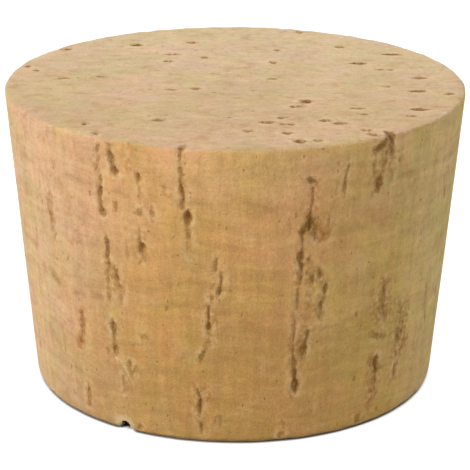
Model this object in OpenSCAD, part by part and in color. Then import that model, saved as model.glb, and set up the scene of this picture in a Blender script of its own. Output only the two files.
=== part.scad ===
// Tapered cork stopper, cut and turned in one piece from a slab of natural cork bark.
// Z = 0 is the centre of the narrow end that it stands on, +Z is its axis and -Y its front.
// The growth rings of the bark lie across the axis, so its lenticels, the breathing channels
// of the bark, run along it. The cut opens them: as fissures down the side, as pits in the ends.

/* [Stopper] */
// Diameter of the wide end, across the sharp corner
top_d = 57; // [50:0.5:70]
// Diameter of the narrow end, across the sharp corner
bottom_d = 50.5; // [40:0.5:56]
// Height from end to end
height = 37.5; // [25:0.5:60]

/* [Edges] */
// Radius of the crisp edge round the wide end
top_edge_r = 0.35; // [0.1:0.05:1.5]
// Radius of the worn edge round the narrow end
bottom_edge_r = 0.8; // [0.2:0.05:2]

/* [Fissures in the side] */
// Width of a hairline fissure
hairline_w = 0.4; // [0.2:0.05:1]
// Width of an open fissure
fissure_w = 0.65; // [0.3:0.05:1.4]
// Width of a gaping hole
gape_w = 0.95; // [0.5:0.05:2]
// Depth of the fissures, square to the wall
fissure_depth = 0.8; // [0.2:0.05:2]
// Length that neighbouring stretches of a fissure share
fissure_lap = 0.5; // [0.1:0.1:1.5]

/* [Pits in the ends] */
// Width of a small pit
small_pit_w = 0.5; // [0.3:0.05:0.8]
// Width of a common pit
pit_w = 0.7; // [0.4:0.05:1.2]
// Width of a large pit
large_pit_w = 0.95; // [0.5:0.05:1.6]
// Depth of the pits
pit_depth = 1.2; // [0.3:0.1:3]

/* [Sides out of sight] */
// Number of fissures round the back
back_fissures = 22; // [0:1:40]
// Number of pits in the narrow end
base_pits = 34; // [0:1:60]
// Number that the scatter of both starts from
scatter_seed = 41; // [1:1:999]

/* [Chip in the narrow edge] */
// Where it is, in degrees from the front towards +X
chip_turn = -31; // [-180:1:180]
// Width along the edge
chip_w = 2.1; // [0.8:0.1:4]
// Height up the wall
chip_h = 1.4; // [0.5:0.1:3]
// Depth into the cork
chip_depth = 1.3; // [0.5:0.1:3]

/* [Hidden] */
cork_colour = [0.80, 0.62, 0.40];
lenticel_colour = [0.40, 0.26, 0.12];

top_r = top_d / 2;
bottom_r = bottom_d / 2;
wall_lean = atan((top_r - bottom_r) / height);
wall_length = norm([top_r - bottom_r, height]);
// How far a cutter stands out of the surface that it cuts
proud = 0.4;
// Segments in a full circle of the body, and in an arc of a cutter
body_fn = 180;
cutter_fn = 120;
// Facets across each rounded rim
rim_steps = 5;

// Fissures that open on the front half, each a list of turning points from the top down:
// [degrees from the front towards +X, share of the height, width of the stretch that starts there]
FISSURES = [
    // left group
    [[-43.1, 0.385, hairline_w], [-43.2, 0.33, hairline_w], [-44.2, 0.275]],
    [[-43.0, 0.12, hairline_w], [-43.3, 0.06]],
    [[-33.2, 0.975, fissure_w], [-33.7, 0.95]],
    [[-32.6, 0.945, hairline_w], [-33.8, 0.91, hairline_w], [-34.6, 0.89]],
    [[-33.2, 0.84, fissure_w], [-33.9, 0.80, fissure_w], [-33.4, 0.77, gape_w], [-33.0, 0.74]],
    [[-32.8, 0.675, fissure_w], [-32.5, 0.64, fissure_w], [-32.6, 0.605, hairline_w], [-32.4, 0.56]],
    [[-33.0, 0.545, hairline_w], [-33.3, 0.51]],
    [[-32.5, 0.38, gape_w], [-32.5, 0.35, hairline_w], [-32.3, 0.30, fissure_w], [-32.2, 0.265]],
    [[-30.2, 0.575, hairline_w], [-30.4, 0.55, fissure_w], [-30.5, 0.53, hairline_w], [-29.6, 0.505]],
    [[-30.0, 0.98, hairline_w], [-29.9, 0.955, gape_w], [-29.8, 0.93]],
    [[-29.0, 0.915, gape_w], [-29.1, 0.885]],
    [[-30.5, 0.20, hairline_w], [-30.2, 0.15]],
    [[-22.9, 0.90, fissure_w], [-22.9, 0.875]],
    [[-23.3, 0.70, hairline_w], [-23.1, 0.675, gape_w], [-22.7, 0.64, hairline_w], [-22.1, 0.62]],
    // middle group
    [[-12.1, 1.03, fissure_w], [-12.5, 0.965]],
    [[-12.5, 0.94, hairline_w], [-12.4, 0.88, fissure_w], [-11.9, 0.84, fissure_w], [-12.2, 0.80]],
    [[-11.1, 0.795, gape_w], [-10.9, 0.75, fissure_w], [-10.8, 0.715]],
    [[-4.1, 0.645, hairline_w], [-4.5, 0.59]],
    [[-3.1, 0.59, hairline_w], [-3.0, 0.56, hairline_w], [-3.5, 0.54, fissure_w], [-3.6, 0.52]],
    [[-6.2, 0.48, hairline_w], [-6.3, 0.43, fissure_w], [-6.2, 0.40]],
    [[-7.2, 0.335, hairline_w], [-7.6, 0.31, hairline_w], [-8.4, 0.29]],
    [[-9.4, 0.19, hairline_w], [-8.7, 0.155, fissure_w], [-8.9, 0.10]],
    [[-8.7, 0.07, hairline_w], [-8.1, 0.03]],
    // right of the middle, the longest
    [[17.4, 0.895, fissure_w], [18.6, 0.885]],
    [[18.3, 0.865, hairline_w], [18.7, 0.83, hairline_w], [18.2, 0.80, hairline_w], [18.0, 0.765, gape_w],
        [18.1, 0.735]],
    [[16.6, 0.735, gape_w], [16.4, 0.715, hairline_w], [16.7, 0.68, hairline_w], [16.1, 0.655, gape_w],
        [16.2, 0.63, fissure_w], [16.9, 0.585, hairline_w], [16.0, 0.54, hairline_w], [15.9, 0.47]],
    [[19.3, 0.735, fissure_w], [19.6, 0.70]],
    [[19.2, 0.57, fissure_w], [19.6, 0.545]],
    [[21.0, 0.59, fissure_w], [21.3, 0.57]],
    [[23.0, 0.54, fissure_w], [23.1, 0.51]],
    [[22.0, 0.48, fissure_w], [22.2, 0.455]],
    [[15.3, 0.43, hairline_w], [15.6, 0.39, hairline_w], [15.0, 0.35, hairline_w], [15.4, 0.30, fissure_w],
        [15.9, 0.26, fissure_w], [16.1, 0.22, gape_w], [16.4, 0.18]],
    [[18.9, 0.39, fissure_w], [19.0, 0.36, hairline_w], [18.2, 0.34, gape_w], [18.1, 0.305]],
    [[27.4, 0.93, hairline_w], [26.5, 0.89, hairline_w], [26.8, 0.83]],
    // right group, from the corner of the wide end down
    [[34.4, 0.965, fissure_w], [36.0, 0.97, fissure_w], [37.6, 0.98]],
    [[39.6, 1.03, gape_w], [39.0, 0.98, fissure_w], [39.8, 0.955, hairline_w], [40.1, 0.93]],
    [[37.0, 0.94, hairline_w], [37.0, 0.89]],
    [[36.1, 0.865, gape_w], [36.3, 0.83]],
    [[40.2, 0.88, hairline_w], [40.7, 0.85]],
    [[41.6, 0.50, hairline_w], [41.2, 0.44, hairline_w], [42.8, 0.36]],
    [[39.0, 0.325, fissure_w], [40.8, 0.31, fissure_w], [42.8, 0.305]],
    [[41.0, 0.24, gape_w], [41.2, 0.20, hairline_w], [41.4, 0.12]],
    [[49.0, 0.31, hairline_w], [49.4, 0.26]],
    [[49.3, 0.18, fissure_w], [49.6, 0.14]],
    [[62.0, 0.43, hairline_w], [62.6, 0.35, hairline_w], [64.2, 0.27]],
    [[67.0, 0.74, fissure_w], [67.2, 0.70]],
    [[71.0, 0.38, fissure_w], [71.4, 0.34]],
];

// Pits in the wide end, which run left to right, each as [x and y as shares of its radius,
// width, length as a multiple of the width]
PITS = [
    // front right, where they lie closest
    [0.26, -0.87, large_pit_w, 1.4], [0.21, -0.76, pit_w, 1.7], [0.13, -0.61, pit_w, 1.9],
    [0.19, -0.54, small_pit_w, 1.8], [0.19, -0.64, small_pit_w, 1.5], [0.225, -0.64, small_pit_w, 1.3],
    [0.37, -0.58, pit_w, 1.8], [0.43, -0.62, small_pit_w, 3.5], [0.30, -0.30, large_pit_w, 1.4],
    [0.25, -0.38, pit_w, 1.8], [0.51, -0.40, small_pit_w, 3.0], [0.53, -0.49, small_pit_w, 1.8],
    [0.53, -0.71, small_pit_w, 1.8], [0.33, -0.86, small_pit_w, 1.7], [0.05, -0.74, small_pit_w, 1.7],
    [0.55, -0.77, pit_w, 1.5], [0.77, -0.41, pit_w, 2.8],
    [0.73, -0.51, small_pit_w, 2.0], [0.78, -0.13, pit_w, 3.1], [0.91, -0.17, pit_w, 1.4],
    [0.66, -0.06, small_pit_w, 1.6],
    // back right
    [0.81, 0.08, pit_w, 2.3], [0.55, 0.32, large_pit_w, 1.9], [0.48, 0.61, pit_w, 1.6],
    [0.71, 0.48, pit_w, 3.3], [0.64, 0.22, small_pit_w, 2.0], [0.69, 0.22, small_pit_w, 1.5],
    [0.17, 0.33, pit_w, 1.4], [0.16, 0.05, small_pit_w, 1.7], [0.19, 0.55, small_pit_w, 1.5],
    [0.30, 0.88, small_pit_w, 1.7],
    // back left
    [-0.14, 0.41, small_pit_w, 1.5], [-0.29, 0.46, small_pit_w, 3.2], [-0.30, 0.34, small_pit_w, 2.4],
    [-0.20, 0.68, pit_w, 1.6], [-0.46, 0.63, large_pit_w, 1.6], [-0.78, 0.54, pit_w, 1.6],
    [-0.93, 0.24, pit_w, 1.3], [-0.88, 0.17, small_pit_w, 1.6], [-0.75, 0.04, small_pit_w, 3.0],
    [-0.59, 0.07, small_pit_w, 2.3],
    // front left, the plainest
    [-0.17, -0.11, pit_w, 1.5], [-0.28, -0.13, small_pit_w, 2.0], [-0.31, -0.59, small_pit_w, 3.0],
    [-0.61, -0.65, small_pit_w, 1.7], [-0.55, -0.77, small_pit_w, 1.6],
];

// A number between two others that looks drawn by chance, always the same for the same seed:
// the fine digits of a sine
function luck(lowest, highest, seed) =
    let(fine = 10000 * sin(97.31 * seed)) lowest + (highest - lowest) * (fine - floor(fine));

// One step down the wall, as degrees round it and a share of the height
wander_side = 1.2;
wander_least = 0.03;
wander_most = 0.09;
function wander_step(seed) =
    [luck(-wander_side, wander_side, seed), -luck(wander_least, wander_most, seed + 50)];

// Points that wander down the wall, each step a little to the side and a stretch further down
function wander(start, steps, wide, seed) = [
    for (k = 0, point = start; k <= steps; point = point + wander_step(seed + k), k = k + 1)
        [point[0], point[1], wide]
];

// The outline of a lens, where two circles cross, long along Y
module lens(long, wide) {
    roundest = 1.25;
    length = max(long, roundest * wide);
    arc_r = (length * length + wide * wide) / (4 * wide);
    intersection() {
        translate([arc_r - wide / 2, 0]) circle(arc_r, $fn = cutter_fn);
        translate([wide / 2 - arc_r, 0]) circle(arc_r, $fn = cutter_fn);
    }
}

// Cuts a flat outline from z = 0 down
module sunk(deep) {
    translate([0, 0, -deep])
        linear_extrude(deep + proud)
            children();
}

// A fissure: a chain of lenses, drawn on the plane that touches the wall at the chain's middle,
// with X round the wall, Y up it and Z out of it
module fissure(points) {
    middle = (points[0] + points[len(points) - 1]) / 2;
    wall_r = bottom_r + (top_r - bottom_r) * middle[1];
    flat = [for (p = points) [wall_r * (p[0] - middle[0]) * PI / 180, wall_length * (p[1] - middle[1])]];
    rotate([0, 0, middle[0]])
        translate([0, -wall_r, height * middle[1]])
            rotate([90 + wall_lean, 0, 0])
                sunk(fissure_depth)
                    for (i = [0 : len(flat) - 2]) {
                        run = flat[i + 1] - flat[i];
                        translate((flat[i] + flat[i + 1]) / 2)
                            rotate(-atan2(run[0], run[1]))
                                lens(norm(run) + fissure_lap, points[i][2]);
                    }
}

// Points along an arc, from one angle to another
function arc(centre, r, from, to, steps) =
    [for (k = [0 : steps]) centre + r * [cos(from + (to - from) * k / steps), sin(from + (to - from) * k / steps)]];

// The solid cork: a frustum with both rims rounded, each by an arc that touches the wall and the end
module blank() {
    top_arc = [top_r - top_edge_r * (tan(wall_lean) + 1 / cos(wall_lean)), height - top_edge_r];
    bottom_arc = [bottom_r + bottom_edge_r * (tan(wall_lean) - 1 / cos(wall_lean)), bottom_edge_r];
    rotate_extrude($fn = body_fn)
        polygon(concat(
            [[0, height], [0, 0]],
            arc(bottom_arc, bottom_edge_r, -90, -wall_lean, rim_steps),
            arc(top_arc, top_edge_r, -wall_lean, 90, rim_steps)
        ));
}

module front_fissures() {
    for (points = FISSURES)
        fissure(points);
}

// The back has the same bark, so its fissures are strewn evenly round it and never in line
module rear_fissures() {
    first_turn = 80;
    last_turn = 280;
    lowest_share = 0.28;
    // The highest start leaves the pits of the wide end their own cork
    highest_share = 1 - (pit_depth + fissure_lap) / height;
    most_steps = 3;
    widths = [hairline_w, fissure_w, hairline_w, gape_w];
    for (i = [0 : 1 : back_fissures - 1]) {
        seed = scatter_seed + 100 * i;
        turn = first_turn + (last_turn - first_turn) * (i + luck(0, 1, seed)) / back_fissures;
        share = luck(lowest_share, highest_share, seed + 1);
        steps = ceil(luck(0, most_steps, seed + 2));
        fissure(wander([turn, share], steps, widths[i % len(widths)], seed + 3));
    }
}

module wide_end_pits() {
    for (p = PITS)
        translate([top_r * p[0], top_r * p[1], height])
            rotate([0, 0, 90])
                sunk(pit_depth)
                    lens(p[2] * p[3], p[2]);
}

// The narrow end's pits lie on a spiral of even spacing, each pushed off it by chance
module narrow_end_pits() {
    golden_angle = 137.5;
    push = 15;
    least_long = 1.3;
    most_long = 2.8;
    // The outermost pits leave the edge and the fissures their own cork
    largest_reach = bottom_r - bottom_edge_r - fissure_depth - most_long * large_pit_w / 2;
    widths = [small_pit_w, pit_w, small_pit_w, large_pit_w, small_pit_w];
    for (i = [0 : 1 : base_pits - 1]) {
        seed = scatter_seed + 10 * i;
        wide = widths[i % len(widths)];
        reach = largest_reach * sqrt((i + luck(0.5, 1, seed)) / base_pits);
        turn = golden_angle * i + luck(-push, push, seed + 1);
        rotate([0, 0, turn])
            translate([reach, 0, 0])
                rotate([180, 0, 90 + turn + luck(-push, push, seed + 2)])
                    sunk(pit_depth)
                        lens(wide * luck(least_long, most_long, seed + 3), wide);
    }
}

// The chip that broke out of the narrow edge, as a wedge with its peak off the middle
module edge_chip() {
    peak = [0.12 * chip_w, chip_h];
    shoulder = [-0.1 * chip_w, 0.85 * chip_h];
    rotate([0, 0, chip_turn])
        translate([0, chip_depth - bottom_r, 0])
            rotate([90, 0, 0])
                linear_extrude(chip_depth + proud)
                    polygon([
                        [-0.5 * chip_w, -proud], [0.5 * chip_w, -proud], [0.5 * chip_w, 0],
                        peak, shoulder, [-0.5 * chip_w, 0],
                    ]);
}

module stopper() {
    difference() {
        color(cork_colour) blank();
        color(lenticel_colour) {
            front_fissures();
            rear_fissures();
            wide_end_pits();
            narrow_end_pits();
        }
        color(cork_colour) edge_chip();
    }
}

stopper();
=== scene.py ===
import math

import bpy
import numpy as np
from mathutils import Euler, Matrix, Vector


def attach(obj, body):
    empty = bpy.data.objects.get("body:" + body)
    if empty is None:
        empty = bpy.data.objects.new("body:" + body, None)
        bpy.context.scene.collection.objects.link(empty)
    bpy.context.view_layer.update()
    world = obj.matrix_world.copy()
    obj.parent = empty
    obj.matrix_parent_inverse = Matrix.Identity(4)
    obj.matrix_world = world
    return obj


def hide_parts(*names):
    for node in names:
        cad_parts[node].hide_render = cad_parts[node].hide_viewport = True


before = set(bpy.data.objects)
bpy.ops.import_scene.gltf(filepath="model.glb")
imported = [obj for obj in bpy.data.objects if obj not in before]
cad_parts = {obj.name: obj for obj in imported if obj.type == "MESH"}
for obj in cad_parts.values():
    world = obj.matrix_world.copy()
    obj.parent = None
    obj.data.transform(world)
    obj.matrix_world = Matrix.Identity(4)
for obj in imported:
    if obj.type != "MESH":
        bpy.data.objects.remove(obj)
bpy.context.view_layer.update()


# ---------------------------------------------------------------- camera
# A long lens, far enough off for the taper to read true, in front of the stopper and
# a little above it. It aims just below the middle of the cork.

MM = 0.001
CAMERA_AWAY = 264.9
CAMERA_UP = math.radians(19.406)
CAMERA_ROLL = math.radians(0.357)
CAMERA_LENS = 159.82
HALF_TALL = 18.75
AIM = (0.0725, 0.0, 17.309)

camera_data = bpy.data.cameras.new("camera")
camera_data.lens = CAMERA_LENS
camera_data.sensor_width = 36.0
camera_data.clip_start = 0.01
camera_data.clip_end = 5.0
camera = bpy.data.objects.new("camera", camera_data)
bpy.context.scene.collection.objects.link(camera)
bpy.context.scene.camera = camera

camera_height = HALF_TALL + CAMERA_AWAY * math.sin(CAMERA_UP)
camera_at = np.array([0.0, -CAMERA_AWAY * math.cos(CAMERA_UP), camera_height])
look = np.array(AIM) - camera_at
yaw = math.atan2(-look[0], look[1])
pitch = math.atan2(math.hypot(look[0], look[1]), -look[2])
camera.location = camera_at * MM
level = Euler((pitch, 0.0, yaw)).to_matrix()
camera.rotation_euler = (level @ Matrix.Rotation(CAMERA_ROLL, 3, "Z")).to_euler()


# ---------------------------------------------------------------- stopper
# One piece of natural cork bark, turned to a frustum. Its lenticels, the breathing channels
# of the bark, run along the axis, so the wall opens them as fissures and the ends as pits.
# The narrow edge is a little worn and has one chip; nothing else is fixed to it.

WIDE_R = 28.5
NARROW_R = 25.25
TALL = 37.5
WIDE_EDGE_R = 0.35
NARROW_EDGE_R = 0.8
LEAN = math.atan2(WIDE_R - NARROW_R, TALL)
WALL = math.hypot(WIDE_R - NARROW_R, TALL)

HAIR, OPEN, GAPE = 0.4, 0.65, 0.95
FISSURE_DEPTH = 0.8
FISSURE_LAP = 0.5
SMALL, PIT, LARGE = 0.5, 0.7, 0.95
PIT_DEPTH = 1.2
CHIP_TURN, CHIP_W, CHIP_H, CHIP_DEPTH = -31.0, 2.1, 1.4, 1.3

# Fissures round the front, each a list of turning points from the top down:
# (degrees from the front towards +X, share of the height, width of the stretch that starts there)
FISSURES = [
    # left group
    [(-43.1, 0.385, HAIR), (-43.2, 0.33, HAIR), (-44.2, 0.275)],
    [(-43.0, 0.12, HAIR), (-43.3, 0.06)],
    [(-33.2, 0.975, OPEN), (-33.7, 0.95)],
    [(-32.6, 0.945, HAIR), (-33.8, 0.91, HAIR), (-34.6, 0.89)],
    [(-33.2, 0.84, OPEN), (-33.9, 0.80, OPEN), (-33.4, 0.77, GAPE), (-33.0, 0.74)],
    [(-32.8, 0.675, OPEN), (-32.5, 0.64, OPEN), (-32.6, 0.605, HAIR), (-32.4, 0.56)],
    [(-33.0, 0.545, HAIR), (-33.3, 0.51)],
    [(-32.5, 0.38, GAPE), (-32.5, 0.35, HAIR), (-32.3, 0.30, OPEN), (-32.2, 0.265)],
    [(-30.2, 0.575, HAIR), (-30.4, 0.55, OPEN), (-30.5, 0.53, HAIR), (-29.6, 0.505)],
    [(-30.0, 0.98, HAIR), (-29.9, 0.955, GAPE), (-29.8, 0.93)],
    [(-29.0, 0.915, GAPE), (-29.1, 0.885)],
    [(-30.5, 0.20, HAIR), (-30.2, 0.15)],
    [(-22.9, 0.90, OPEN), (-22.9, 0.875)],
    [(-23.3, 0.70, HAIR), (-23.1, 0.675, GAPE), (-22.7, 0.64, HAIR), (-22.1, 0.62)],
    # middle group
    [(-12.1, 1.03, OPEN), (-12.5, 0.965)],
    [(-12.5, 0.94, HAIR), (-12.4, 0.88, OPEN), (-11.9, 0.84, OPEN), (-12.2, 0.80)],
    [(-11.1, 0.795, GAPE), (-10.9, 0.75, OPEN), (-10.8, 0.715)],
    [(-4.1, 0.645, HAIR), (-4.5, 0.59)],
    [(-3.1, 0.59, HAIR), (-3.0, 0.56, HAIR), (-3.5, 0.54, OPEN), (-3.6, 0.52)],
    [(-6.2, 0.48, HAIR), (-6.3, 0.43, OPEN), (-6.2, 0.40)],
    [(-7.2, 0.335, HAIR), (-7.6, 0.31, HAIR), (-8.4, 0.29)],
    [(-9.4, 0.19, HAIR), (-8.7, 0.155, OPEN), (-8.9, 0.10)],
    [(-8.7, 0.07, HAIR), (-8.1, 0.03)],
    # right of the middle, the longest
    [(17.4, 0.895, OPEN), (18.6, 0.885)],
    [(18.3, 0.865, HAIR), (18.7, 0.83, HAIR), (18.2, 0.80, HAIR), (18.0, 0.765, GAPE), (18.1, 0.735)],
    [(16.6, 0.735, GAPE), (16.4, 0.715, HAIR), (16.7, 0.68, HAIR), (16.1, 0.655, GAPE),
     (16.2, 0.63, OPEN), (16.9, 0.585, HAIR), (16.0, 0.54, HAIR), (15.9, 0.47)],
    [(19.3, 0.735, OPEN), (19.6, 0.70)],
    [(19.2, 0.57, OPEN), (19.6, 0.545)],
    [(21.0, 0.59, OPEN), (21.3, 0.57)],
    [(23.0, 0.54, OPEN), (23.1, 0.51)],
    [(22.0, 0.48, OPEN), (22.2, 0.455)],
    [(15.3, 0.43, HAIR), (15.6, 0.39, HAIR), (15.0, 0.35, HAIR), (15.4, 0.30, OPEN),
     (15.9, 0.26, OPEN), (16.1, 0.22, GAPE), (16.4, 0.18)],
    [(18.9, 0.39, OPEN), (19.0, 0.36, HAIR), (18.2, 0.34, GAPE), (18.1, 0.305)],
    [(27.4, 0.93, HAIR), (26.5, 0.89, HAIR), (26.8, 0.83)],
    # right group, from the corner of the wide end down
    [(34.4, 0.965, OPEN), (36.0, 0.97, OPEN), (37.6, 0.98)],
    [(39.6, 1.03, GAPE), (39.0, 0.98, OPEN), (39.8, 0.955, HAIR), (40.1, 0.93)],
    [(37.0, 0.94, HAIR), (37.0, 0.89)],
    [(36.1, 0.865, GAPE), (36.3, 0.83)],
    [(40.2, 0.88, HAIR), (40.7, 0.85)],
    [(41.6, 0.50, HAIR), (41.2, 0.44, HAIR), (42.8, 0.36)],
    [(39.0, 0.325, OPEN), (40.8, 0.31, OPEN), (42.8, 0.305)],
    [(41.0, 0.24, GAPE), (41.2, 0.20, HAIR), (41.4, 0.12)],
    [(49.0, 0.31, HAIR), (49.4, 0.26)],
    [(49.3, 0.18, OPEN), (49.6, 0.14)],
    [(62.0, 0.43, HAIR), (62.6, 0.35, HAIR), (64.2, 0.27)],
    [(67.0, 0.74, OPEN), (67.2, 0.70)],
    [(71.0, 0.38, OPEN), (71.4, 0.34)],
]

# Pits in the wide end, which run left to right: (x and y as shares of its radius, width,
# length as a multiple of the width)
PITS = [
    # front right, where they lie closest
    (0.26, -0.87, LARGE, 1.4), (0.21, -0.76, PIT, 1.7), (0.13, -0.61, PIT, 1.9), (0.19, -0.54, SMALL, 1.8),
    (0.19, -0.64, SMALL, 1.5), (0.225, -0.64, SMALL, 1.3), (0.37, -0.58, PIT, 1.8),
    (0.43, -0.62, SMALL, 3.5),
    (0.30, -0.30, LARGE, 1.4), (0.25, -0.38, PIT, 1.8), (0.51, -0.40, SMALL, 3.0), (0.53, -0.49, SMALL, 1.8),
    (0.53, -0.71, SMALL, 1.8), (0.33, -0.86, SMALL, 1.7), (0.05, -0.74, SMALL, 1.7), (0.55, -0.77, PIT, 1.5),
    (0.77, -0.41, PIT, 2.8), (0.73, -0.51, SMALL, 2.0), (0.78, -0.13, PIT, 3.1), (0.91, -0.17, PIT, 1.4),
    (0.66, -0.06, SMALL, 1.6),
    # back right
    (0.81, 0.08, PIT, 2.3), (0.55, 0.32, LARGE, 1.9), (0.48, 0.61, PIT, 1.6), (0.71, 0.48, PIT, 3.3),
    (0.64, 0.22, SMALL, 2.0), (0.69, 0.22, SMALL, 1.5), (0.17, 0.33, PIT, 1.4), (0.16, 0.05, SMALL, 1.7),
    (0.19, 0.55, SMALL, 1.5), (0.30, 0.88, SMALL, 1.7),
    # back left
    (-0.14, 0.41, SMALL, 1.5), (-0.29, 0.46, SMALL, 3.2), (-0.30, 0.34, SMALL, 2.4), (-0.20, 0.68, PIT, 1.6),
    (-0.46, 0.63, LARGE, 1.6), (-0.78, 0.54, PIT, 1.6), (-0.93, 0.24, PIT, 1.3), (-0.88, 0.17, SMALL, 1.6),
    (-0.75, 0.04, SMALL, 3.0), (-0.59, 0.07, SMALL, 2.3),
    # front left, the plainest
    (-0.17, -0.11, PIT, 1.5), (-0.28, -0.13, SMALL, 2.0), (-0.31, -0.59, SMALL, 3.0),
    (-0.61, -0.65, SMALL, 1.7), (-0.55, -0.77, SMALL, 1.6),
]

# Marks too faint to be more than a hollow: (degrees, height in mm at the top and at the foot,
# width, darkness)
FAINT = [
    (-33.1, 32.8, 32.2, 0.5, 0.7), (-33.2, 18.0, 17.3, 0.5, 0.6), (-29.5, 29.6, 28.6, 0.6, 0.5),
    (-29.5, 19.3, 19.0, 0.5, 0.7), (-29.5, 18.4, 17.6, 0.5, 0.6), (-22.6, 32.0, 30.8, 0.4, 0.4),
    (-23.0, 29.4, 28.7, 0.9, 0.6), (-19.8, 29.3, 28.7, 0.6, 0.6), (-26.8, 25.3, 22.8, 0.6, 0.4),
    (-12.5, 35.2, 34.4, 0.5, 0.6), (-10.9, 26.9, 24.0, 0.6, 0.4), (-5.4, 19.4, 19.0, 0.4, 0.7),
    (-6.2, 13.8, 13.4, 0.4, 0.6), (-8.3, 11.5, 11.1, 0.5, 0.7), (-3.5, 3.7, 2.6, 0.9, 0.4),
    (13.0, 29.0, 27.0, 0.5, 0.4), (18.2, 23.9, 23.5, 0.5, 0.6), (18.7, 19.4, 19.0, 0.5, 0.6),
    (22.0, 16.3, 15.7, 0.6, 0.6), (17.3, 13.8, 13.3, 0.5, 0.6), (23.0, 28.3, 27.6, 0.5, 0.5),
    (23.0, 27.0, 26.0, 0.4, 0.5), (34.6, 35.2, 34.0, 0.5, 0.5), (34.5, 30.8, 30.2, 0.5, 0.4),
    (41.0, 17.0, 16.6, 1.4, 0.5), (43.0, 14.0, 13.4, 0.6, 0.5), (49.0, 11.0, 10.0, 0.9, 0.6),
    (-28.2, 9.6, 8.8, 0.6, 0.6), (-26.5, 9.0, 8.2, 0.6, 0.5), (-27.8, 8.0, 7.6, 0.5, 0.5),
    (-23.5, 13.4, 13.0, 0.9, 0.4), (-34.6, 10.6, 10.0, 0.5, 0.5), (-52.0, 29.0, 23.0, 0.6, 0.3),
    (-43.1, 14.5, 10.5, 0.7, 0.5), (-43.1, 4.5, 2.0, 0.6, 0.5), (36.0, 1.2, 0.8, 0.7, 0.8),
    (13.0, 1.1, 0.7, 0.8, 0.7), (-26.0, 1.0, 0.6, 0.8, 0.7),
]

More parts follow.
